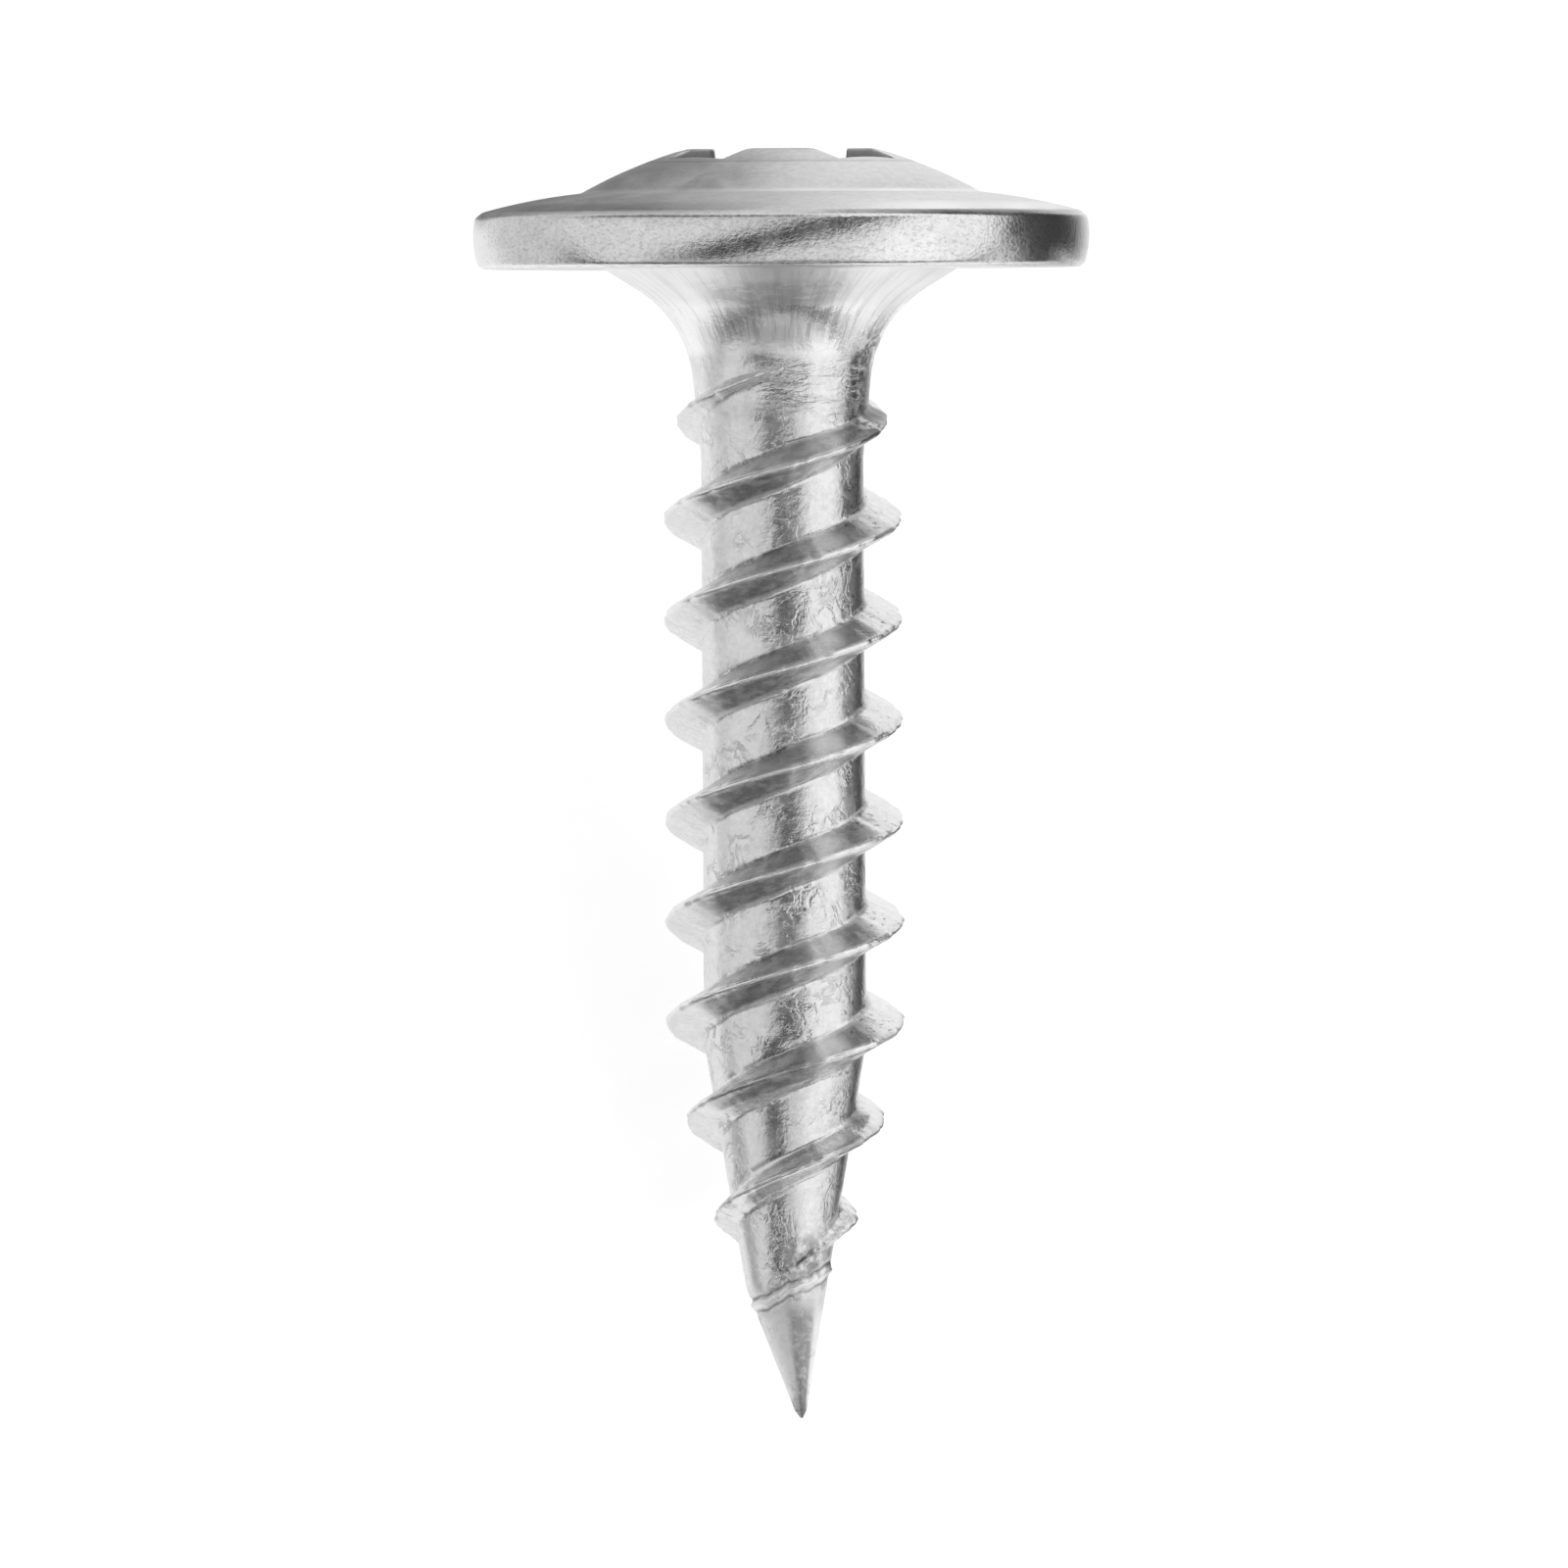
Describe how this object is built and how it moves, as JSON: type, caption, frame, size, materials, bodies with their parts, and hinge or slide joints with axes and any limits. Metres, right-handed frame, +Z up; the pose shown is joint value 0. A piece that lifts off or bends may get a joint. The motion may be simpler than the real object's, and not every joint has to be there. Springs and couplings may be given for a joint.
{
  "type": "drywall screw",
  "caption": "Self-tapping drywall screw with a flat washer flange, low domed head, cross recess, flared neck and coarse right-hand thread, zinc plated",
  "frame": {"origin": "centre of the bounding box in X and Y, and the table that the screw lies on in Z", "axes": "X across the screw, Y along the table with the head towards +Y and the point towards -Y, Z up"},
  "size_m": [0.0106, 0.0218, 0.0105],
  "materials": {
    "zinc_steel": "bright zinc plating on case-hardened steel, as rolled"
  },
  "bodies": {
    "root": {"drywall_screw": "zinc_steel"}
  },
  "joints": []
}
